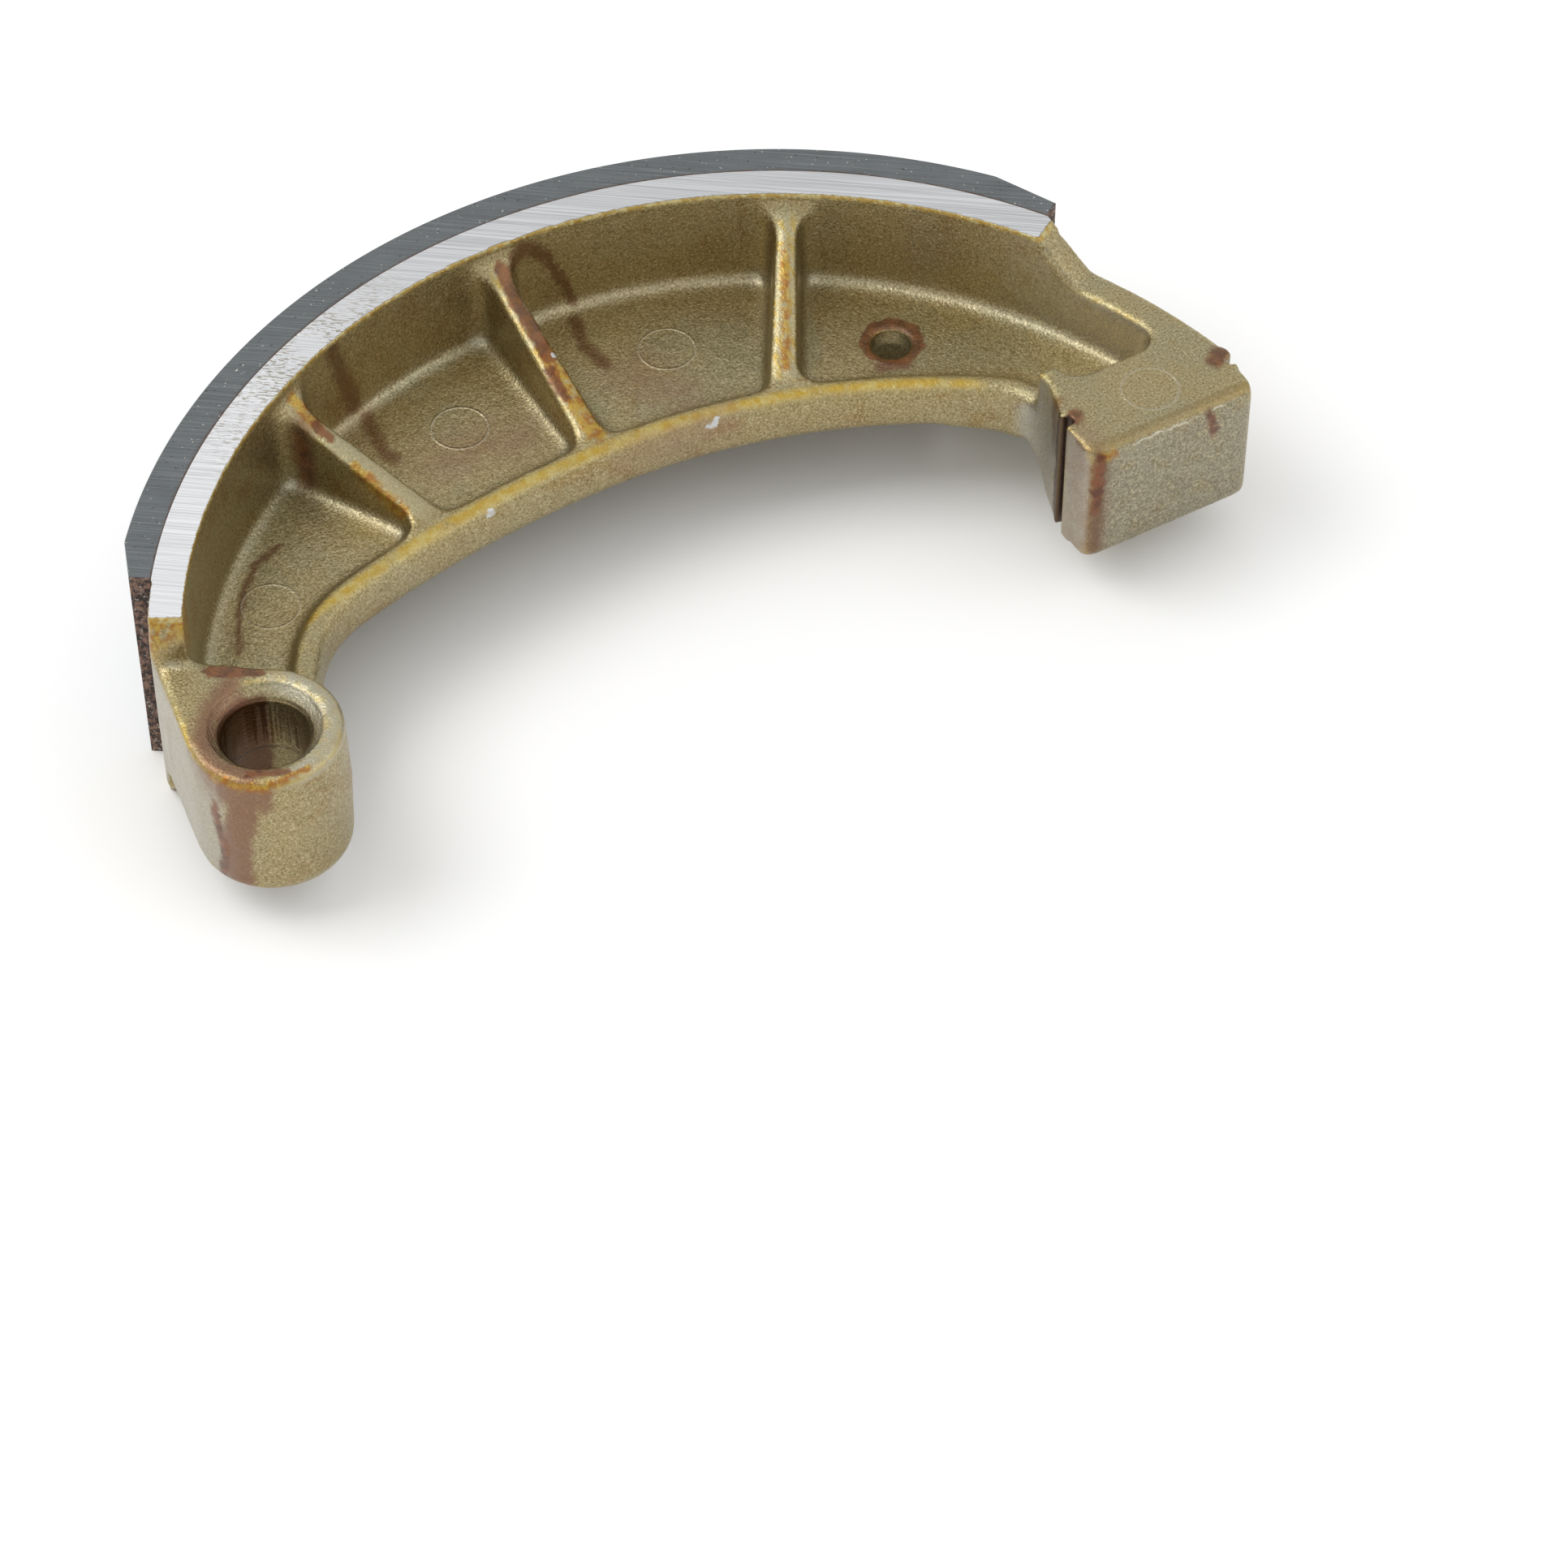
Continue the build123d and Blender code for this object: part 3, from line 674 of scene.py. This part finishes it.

# Ground sides: bright aluminium with straight grinding lines, pits and an uneven golden rim, and a painted
# sheen that makes them lighter towards the pivot end
grind_angle = math.radians(-36)
dull_greys = ((0.46, 0.465, 0.475), (0.60, 0.605, 0.62))
shiny_greys = ((0.67, 0.675, 0.685), (0.90, 0.905, 0.92))
coarse_grey = (0.80, 0.805, 0.815)
pit_grey = (0.30, 0.295, 0.275)
lip_golds = ((0.42, 0.28, 0.07), (0.54, 0.46, 0.22))
ground = g.step(height, 14.90, 14.97)
grind = g.use(grind_lines, Place=place, Angle=grind_angle, Width=0.13)
pits_here = g.product(g.band(x, 14.0, 40.0, 7.0), g.patches(place, 7.0, 0.30, 0.52, 2.0, 0.5))
pits = g.product(g.step(grind["Dashes"], 0.52, 0.57), pits_here)
# Painted sheen: the ground face turns to the lighter greys towards the pivot end
pivot_sheen = g.step(x, 55.0, 15.0)
bright = g.blend(g.step(grind["Lines"], 0.38, 0.62), g.blend(pivot_sheen, *dull_greys),
                 g.blend(pivot_sheen, *shiny_greys))
bright = g.paint(bright, g.step(grind["Coarse"], 0.48, 0.66), 0.5, coarse_grey)
bright = g.paint(bright, pits, 0.8, pit_grey)
bare = g.product(ground, g.math("SUBTRACT", 1.0, g.product(pits, 0.3)))
lip = g.step(g.jagged(height, place, 0.9, 1.1, 0.65), 14.75, 15.05)
lip = g.product(lip, g.product(g.math("SUBTRACT", 1.0, ground), g.step(from_drum, 70.6, 70.2)))
colour = g.paint(colour, lip, 0.85, g.blend(g.patches(place, 1.0, 0.45, 0.60, 2.0), *lip_golds))
colour = g.blend(bare, colour, bright)
coated_rough = g.lerp(glued, chromate_rough, 0.30)
rough = g.lerp(bare, coated_rough, g.lerp(g.step(grind["Lines"], 0.3, 0.7), 0.44, 0.32))

# Relief: cast grain, ejector rings, grinding lines and the turned bore
ejector_rings = [(11.26, 22.5, 0.7), (43.8, 37.15, 1.0), (71.82, 36.5, 0.9), (114.6, -4.75, 0.85)]
ring_radii = (3.35, 3.55)
ring_grey = (0.55, 0.53, 0.45)
ring_height = []
for centre_x, centre_y, strength in ejector_rings:
    ring = g.band(g.around(x, y, centre_x, centre_y), *ring_radii, 0.18)
    ring_height.append(g.product(ring, strength))
rings = g.product(g.largest(ring_height), g.step(z, 1.0, 1.3), g.step(level, 0.9, 0.97))
colour = g.paint(colour, rings, 0.4, ring_grey)
rough_cast = g.product(g.lerp(g.step(level, 0.3, 0.8), 0.065, 0.095), g.lerp(foot, 1.0, 0.55))
cast_relief = g.math("ADD", g.product(g.noise(place, 0.34, 2.0, 0.6), rough_cast),
                     g.product(g.noise(place, 2.4, 2.0, 0.5), 0.10))
cast_relief = g.math("ADD", cast_relief, g.product(rings, 0.09))
turned_lines = g.noise(g.join(g.product(x, 0.05), g.product(y, 0.05), z), 0.35, 2.0, 0.6)
flash = g.band(g.math("ADD", z, g.product(patch, 0.5)), 0.0, 0.5, 0.15)
bore_relief = g.math("ADD", g.product(turned_lines, 0.05), g.product(flash, 0.25))
relief = g.lerp(g.step(from_pivot, 5.5, 5.2), cast_relief, bore_relief)
relief = g.lerp(bare, relief, g.product(grind["Lines"], 0.012))
finish_material(g, shader, colour, rough, relief)

# The coating's own clear film, thicker and glossier where there is adhesive, and none on bare metal
film = g.math("MAXIMUM", glued, 0.22)
g.feed(shader.inputs["Metallic"], g.lerp(dark_stain, 0.96, 0.7))
g.feed(shader.inputs["Coat Weight"], g.product(film, g.math("SUBTRACT", 0.7, bare, clamp=True)))
g.feed(shader.inputs["Coat Roughness"], g.lerp(glued, 0.38, 0.12))
casting.data.materials.append(chromate)
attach(casting, "root")
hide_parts("shoe_casting")

# Friction lining: a curved strip of moulded, resin-bound friction compound, bonded to the seat.
# Its outer face is ground round on the shoe, with chatter marks across it, its sides are ground with
# the casting, and each end has a flat ground bevel above a raw sawn face.
friction_radius = 75.0
bond_radius = 71.0
cam_end = 32.8
pivot_end = 147.2
bevel_cam = 8.5
bevel_pivot = 5.5
bevel_depth = 1.4
corner = 0.12
turns = 560
levels = 64
sharp_from = math.radians(25)


def outer_radius(angle):
    """Distance from the drum axis to the outer face: the friction radius, less where an end bevel cuts it.

    A bevel is a plane through two points. At an angle its distance is that of a point on it along the
    plane's normal, over the cosine of the angle to the normal."""
    radius = np.full_like(angle, friction_radius)
    for end, towards, length in [(cam_end, 1, bevel_cam), (pivot_end, -1, bevel_pivot)]:
        start = math.radians(end) + towards * length / friction_radius
        rise = np.array([math.cos(start), math.sin(start)]) * friction_radius
        low_radius = friction_radius - bevel_depth
        low = np.array([math.cos(math.radians(end)), math.sin(math.radians(end))]) * low_radius
        along_plane = rise - low
        square = np.array([-along_plane[1], along_plane[0]])
        cut = square @ rise / (square[0] * np.cos(angle) + square[1] * np.sin(angle))
        radius = np.where((angle - start) * towards < 0, np.minimum(radius, cut), radius)
    return radius


def lining_mesh():
    """Closed loop of section points in radius and width, carried along the arc; each end is closed by a grid.

    The loop has outer face points, then inner face points; its corners are cut back by a small amount."""
    angle = np.radians(np.linspace(cam_end, pivot_end, turns))
    half = side_z / mm
    middle_levels = np.linspace(-half + 2 * corner, half - 2 * corner, levels - 4)
    width = np.concatenate([[-half, -half + corner], middle_levels, [half - corner, half]])
    drop = np.zeros(levels)
    drop[[0, -1]] = corner
    outer = outer_radius(angle)[:, None] - drop
    inner = np.full_like(outer, bond_radius)
    radius = np.concatenate([outer, inner[:, ::-1]], axis=1)
    across = np.tile(np.concatenate([width, width[::-1]]), (turns, 1))
    points = np.stack([radius * np.cos(angle)[:, None] + drum_x / mm,
                       radius * np.sin(angle)[:, None] + drum_y / mm, across], axis=-1).reshape(-1, 3) * mm
    loop = 2 * levels
    row, column = np.meshgrid(np.arange(turns - 1), np.arange(loop), indexing="ij")
    after = (column + 1) % loop
    quads = np.stack([row * loop + column, row * loop + after, (row + 1) * loop + after,
                      (row + 1) * loop + column], axis=-1).reshape(-1, 4)
    step = np.arange(levels - 1)
    cap = np.stack([step, loop - 1 - step, loop - 2 - step, step + 1], axis=-1)
    far_cap = cap[:, ::-1] + (turns - 1) * loop
    mesh = bpy.data.meshes.new("lining")
    mesh.from_pydata(points.tolist(), [], np.concatenate([quads, cap, far_cap]).tolist())
    mesh.update()
    return mesh


lining = bpy.data.objects.new("lining", lining_mesh())
scene.collection.objects.link(lining)
lining.data.shade_smooth()
lining.data.set_sharp_from_angle(angle=sharp_from)

compound, g, shader = new_material("friction compound")
place = g.place()
x, y, z = (g.split(place)[name] for name in "XYZ")
height = g.math("ABSOLUTE", z)
centred = g.join(g.math("SUBTRACT", x, drum_x / mm), g.math("SUBTRACT", y, drum_y / mm), 0.0)
radius = g.vector("LENGTH", centred)
turn = g.math("ARCTAN2", g.split(centred)["Y"], g.split(centred)["X"])
arc = g.product(turn, friction_radius)
unrolled = g.join(arc, z, radius)
on_side = g.step(height, 14.90, 14.96)
cam_edge = math.radians(cam_end) * friction_radius
pivot_edge = math.radians(pivot_end) * friction_radius
at_end = g.math("MAXIMUM", g.step(arc, cam_edge + 0.12, cam_edge + 0.04),
                g.step(arc, pivot_edge - 0.12, pivot_edge - 0.04))
cloud = g.noise(place, 5.0, 4.0, 0.65)

# Ground sides: slate grey with pale and dark grinding lines, blacker beside the bond
side_slate = ((0.070, 0.079, 0.083), (0.130, 0.141, 0.145))
pale_line = (0.20, 0.215, 0.22)
dark_line = (0.05, 0.055, 0.058)
bond_black = (0.045, 0.045, 0.045)
side_lines = g.use(grind_lines, Place=place, Angle=grind_angle, Width=0.18)
side_colour = g.blend(cloud, *side_slate)
side_colour = g.paint(side_colour, g.step(side_lines["Lines"], 0.5, 0.68), 0.5, pale_line)
side_colour = g.paint(side_colour, g.step(side_lines["Lines"], 0.46, 0.34), 0.5, dark_line)
by_bond = g.step(g.jagged(radius, place, 6.0, 1.6), bond_radius + 1.3, bond_radius + 0.5)
side_colour = g.paint(side_colour, by_bond, 0.5, bond_black)

# Working face: grey, with fine lines across it and the dark bars that a chattering grinder leaves
face_grey = ((0.205, 0.222, 0.232), (0.275, 0.295, 0.305))
face_line = (0.36, 0.38, 0.39)
chatter_grey = (0.12, 0.13, 0.14)
chatter_pitch = 1.9
face_lines = g.noise(g.join(g.product(arc, 3.2), g.product(z, 0.12), 0.0), 1.0, 3.0, 0.65)
wobble = g.product(g.noise(g.join(g.product(arc, 0.05), g.product(z, 0.3), 0.0), 1.0), 5.0)
chatter = g.math("SINE", g.math("ADD", g.product(arc, 2 * math.pi / chatter_pitch), wobble))
chatter_here = g.patches(unrolled, 16.0, 0.42, 0.62, 2.0, 0.5)
face_colour = g.paint(g.blend(cloud, *face_grey), g.step(face_lines, 0.45, 0.7), 0.4, face_line)
shade = g.product(g.step(chatter, -0.2, 1.0), g.product(chatter_here, 0.28))
face_colour = g.blend(shade, face_colour, chatter_grey)
colour = g.blend(on_side, face_colour, side_colour)

# Pale specks of filler and small dark pores, on all of the compound
pale_speck = (0.62, 0.60, 0.55)
pore_brown = (0.05, 0.04, 0.035)
colour = g.paint(colour, g.patches(place, 0.38, 0.735, 0.79, 1.0, 0.5), 0.75, pale_speck)
pores = g.patches(place, 0.5, 0.30, 0.25, 1.0, 0.5)
colour = g.paint(colour, pores, 0.6, pore_brown)

# Sawn ends, raw and brown, and the adhesive that shows along the bond
end_brown = ((0.045, 0.03, 0.026), (0.30, 0.18, 0.13))
end_pale = (0.42, 0.40, 0.38)
glue_brown = (0.075, 0.04, 0.025)
raw = g.noise(place, 0.8, 4.0, 0.75)
end_colour = g.blend(g.step(raw, 0.42, 0.62), *end_brown)
end_colour = g.blend(g.patches(place, 0.45, 0.60, 0.68, 2.0), end_colour, end_pale)
colour = g.blend(at_end, colour, end_colour)
bond_gap = g.jagged(radius, place, 1.2, 0.5)
colour = g.paint(colour, g.step(bond_gap, bond_radius + 0.50, bond_radius + 0.36), 0.85, glue_brown)

face_relief = g.math("ADD", g.product(face_lines, 0.05), g.product(chatter, g.product(chatter_here, 0.012)))
relief = g.lerp(on_side, face_relief, g.product(side_lines["Lines"], 0.05))
relief = g.math("SUBTRACT", relief, g.product(pores, 0.08))
relief = g.lerp(at_end, relief, g.product(raw, 0.7))
finish_material(g, shader, colour, g.lerp(g.step(cloud, 0.3, 0.7), 0.62, 0.78), relief)
shader.inputs["Specular IOR Level"].default_value = 0.35
lining.data.materials.append(compound)
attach(lining, "root")
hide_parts("friction_lining")

# Floor, studio light and the camera at the photograph's angle.
# The floor is white paper that the shoe's lower side rests on; a white room and two large lamps
# give it the soft shadow of a product picture.
floor_half = 3.0
paper_white = (0.90, 0.90, 0.895)
room_strength = 0.9
corners = [(-floor_half, -floor_half), (floor_half, -floor_half), (floor_half, floor_half),
           (-floor_half, floor_half)]
floor_mesh = bpy.data.meshes.new("floor")
floor_mesh.from_pydata([(corner_x, corner_y, -side_z) for corner_x, corner_y in corners], [], [(0, 1, 2, 3)])
floor = bpy.data.objects.new("floor", floor_mesh)
scene.collection.objects.link(floor)
paper, g, shader = new_material("white paper")
g.feed(shader.inputs["Base Color"], paper_white)
shader.inputs["Roughness"].default_value = 0.9
floor_mesh.materials.append(paper)

studio = bpy.data.worlds.new("studio")
scene.world = studio
studio.use_nodes = True
background = studio.node_tree.nodes["Background"]
background.inputs["Color"].default_value = (1.0, 1.0, 1.0, 1.0)
background.inputs["Strength"].default_value = room_strength

middle = Vector((0.056, 0.02, 0.0))


def soft_light(name, place, size, power):
    """Square area light of a size in metres and a power in watts, aimed at the middle of the shoe."""
    data = bpy.data.lights.new(name, "AREA")
    data.size = size
    data.energy = power
    light = bpy.data.objects.new(name, data)
    light.location = place
    light.rotation_euler = (middle - Vector(place)).to_track_quat("-Z", "Y").to_euler()
    scene.collection.objects.link(light)


soft_light("key", (-0.35, 0.25, 0.65), 0.5, 2.6)
soft_light("fill", (0.55, -0.45, 0.55), 0.6, 0.8)

camera_place = Vector((-0.14899, -0.37634, 0.46742))
camera_aim = Vector((0.05654, -0.01862, -0.015))
camera_data = bpy.data.cameras.new("camera")
camera_data.lens = 124.476
camera_data.sensor_width = 36.0
camera = bpy.data.objects.new("camera", camera_data)
camera.location = camera_place
camera.rotation_euler = (camera_aim - camera_place).to_track_quat("-Z", "Y").to_euler()
scene.collection.objects.link(camera)
scene.camera = camera
scene.view_settings.view_transform = "Standard"
